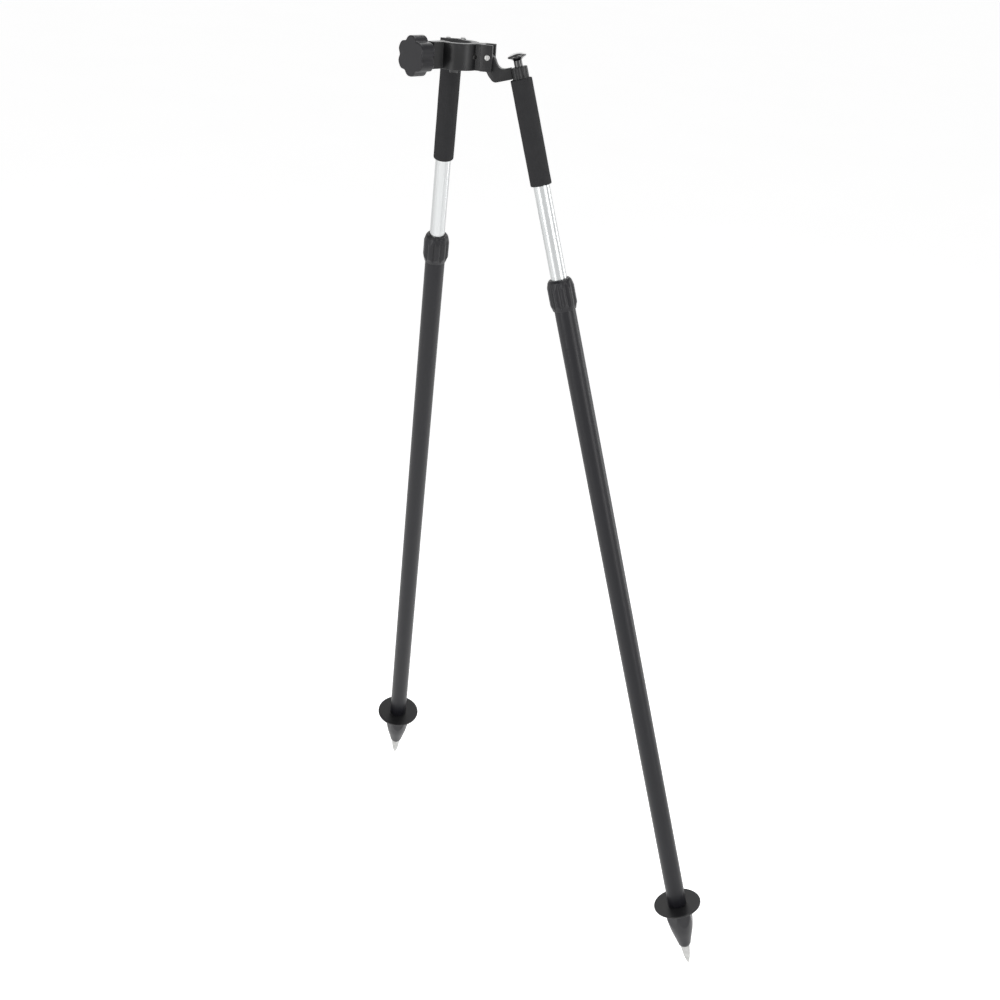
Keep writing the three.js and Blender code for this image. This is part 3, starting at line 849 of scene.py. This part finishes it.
# %% [markdown]
# ## Feet
# A step disc lets the user tread the steel point into the ground. Under it the moulded cone starts
# as a hexagon for a spanner. It is drawn as a cone kept inside six flats: where the cone grows
# thinner than the flats, they run out in curves by themselves.

# %% Step discs, cones and points
FLATS, SOFT = 17.0, 0.25
CONE_BORE, POINT_SHANK, POINT_COLLAR = 6.3, 6, 6.4


def six_flats(angle, radius, height):
    """Keeps a cone inside a hexagon, with its corners a little soft."""
    off = (angle + math.pi / 6) % (math.pi / 3) - math.pi / 6
    flat = FLATS / math.cos(off)
    blend = max(0.0, 1 - abs(flat - radius) / SOFT)
    return min(radius, flat) - SOFT * 0.25 * blend * blend if radius > 7 else radius


def foot(leg, place):
    upright = axis_frame(place.translation, place.col[2].xyz, (0, 1, 0))
    ring = eased(hollow_profile(Measure(f"{leg}_step_disc", upright)), 0.8, 5)
    disc = turned(f"{leg}_tread_disc", filled(ring, 6), 160)
    fit(disc, f"{leg}_step_disc", upright)

    size = Measure(f"{leg}_foot_cone", place)
    top, end = size.high, size.low
    line = [(CONE_BORE, top, 0), (19.6, top, 0.4), (20, top - 1.5, 0.8), (18.6, top - 20, 6)]
    line += [(15.4, end + 28, 6), (10.8, end + 11, 3), (8.6, end + 2.2, 1.4)]
    line += [(7.2, end, 0.8), (CONE_BORE, end, 0)]
    cone = turned(f"{leg}_spike_cone", filled(eased(line, 0), 1.0), 216, six_flats)
    fit(cone, f"{leg}_foot_cone", place)

    size = Measure(f"{leg}_steel_point", place)
    low, high = size.low, size.high
    shoulder = low + 31.4
    line = [(0, high), (POINT_SHANK, high, 0.3), (POINT_SHANK, shoulder, 0)]
    line += [(POINT_COLLAR, shoulder, 0.2), (POINT_COLLAR, low + 28.7, 0.6)]
    line += [(4.4, low + 11, 6), (1.2, low + 1.0, 0.8), (0, low)]
    point = turned(f"{leg}_ground_point", filled(eased(line, 0), 1.5), 96)
    fit(point, f"{leg}_steel_point", place)


for leg in LEGS:
    foot(leg, LEG_FRAME[leg])

# %% [markdown]
# ## Floor, light and camera
# The floor is a plain pale sheet. It lies below the reach of a fully drawn leg, so that no leg
# goes through it when the legs are pulled out. Tall soft lights on both sides give the tubes
# their long highlights, two wings further round pick out the facets of the cones, a small light in
# front rounds the ring, and one behind skims the flat tops.
# The surround is white at the level of the eye and greyer overhead, as in a studio with a dark
# ceiling, so flat tops seen from the side stay bright.

# %% Stage
longest = max(JOINTS[f"{leg}_leg_extend"]["range_m"][1] for leg in LEGS)
FLOOR_REACH, FLOOR_GAP = 60.0, 0.08
floor_height = min(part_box(f"{leg}_steel_point")[0].z for leg in LEGS) - longest - FLOOR_GAP
floor_mesh = bpy.data.meshes.new("floor")
square = [(-1, -1), (1, -1), (1, 1), (-1, 1)]
corners = [(x * FLOOR_REACH, y * FLOOR_REACH, floor_height) for x, y in square]
floor_mesh.from_pydata(corners, [], [(0, 1, 2, 3)])
floor = bpy.data.objects.new("floor", floor_mesh)
bpy.context.scene.collection.objects.link(floor)
pale = Finish("pale_floor", 0.0, Roughness=0.9, Emission_Color=(1, 1, 1, 1), Emission_Strength=0.62)
pale.shade(pale.noise(900), (0.88, 0.88, 0.88), (0.92, 0.92, 0.92))
floor.data.materials.append(pale.material)

world = bpy.data.worlds.new("studio")
sky = Shader(world, "Background")
direction = sky.node("ShaderNodeTexCoord", output="Generated")
height = sky.node("ShaderNodeSeparateXYZ", inputs={"Vector": direction}, output="Z")
fade = {"stops": ((0.05, 1.0), (0.7, 0.28))}
sky.feed("Color", sky.node("ShaderNodeValToRGB", fade, {"Fac": height}))
bpy.context.scene.world = world
bpy.context.scene.view_settings.view_transform = "Standard"

MIDDLE = Vector((0.05, 0.1, -0.6))


def soft_light(name, azimuth, height, distance, size, power):
    """A rectangular light at an azimuth from the legs' middle, facing it."""
    angle = math.radians(azimuth)
    place = Vector((math.cos(angle) * distance, math.sin(angle) * distance, height))
    data = bpy.data.lights.new(name, "AREA")
    data.shape = "RECTANGLE"
    data.size, data.size_y = size
    data.energy = power
    light = bpy.data.objects.new(name, data)
    light.location = MIDDLE + place
    light.rotation_euler = (-place).to_track_quat("-Z", "Y").to_euler()
    bpy.context.scene.collection.objects.link(light)


LIGHTS = (
    # name, azimuth in degrees, height and distance in metres, size in metres, power in watts
    ("left_softbox", -88, 0.6, 2.2, (0.6, 2.4), 18),
    ("right_softbox", 2, 0.6, 2.2, (0.6, 2.4), 18),
    ("left_wing", -124, 0.4, 2.2, (0.4, 2.4), 3),
    ("right_wing", 62, 0.4, 2.2, (0.5, 2.4), 14),
    ("front_softbox", -42, 1.6, 2.4, (0.3, 1.0), 9),
    ("back_softbox", 138, 1.7, 2.2, (2.2, 1.0), 12),
    ("overhead", 90, 2.6, 0.4, (1.6, 1.6), 30),
)
for light in LIGHTS:
    soft_light(*light)
print(f"floor at {floor_height:.2f} m,", len(LIGHTS), "lights")

# %% Camera
CAMERA_PLACE = Vector((1.2721, -1.1361, 0.2058))
LOOK_AZIMUTH, LOOK_PITCH, ROLL = 45.478, -23.700, 4.107
camera_data = bpy.data.cameras.new("camera")
camera_data.lens, camera_data.sensor_width = 52.56, 36.0
camera_data.clip_end = 200.0
camera = bpy.data.objects.new("camera", camera_data)
camera.matrix_world = (
    Matrix.Translation(CAMERA_PLACE)
    @ Matrix.Rotation(math.radians(LOOK_AZIMUTH), 4, "Z")
    @ Matrix.Rotation(math.radians(90 + LOOK_PITCH), 4, "X")
    @ Matrix.Rotation(math.radians(ROLL), 4, "Z")
)
bpy.context.scene.collection.objects.link(camera)
bpy.context.scene.camera = camera
print("camera", round(CAMERA_PLACE.length, 2), "m from the clamp")
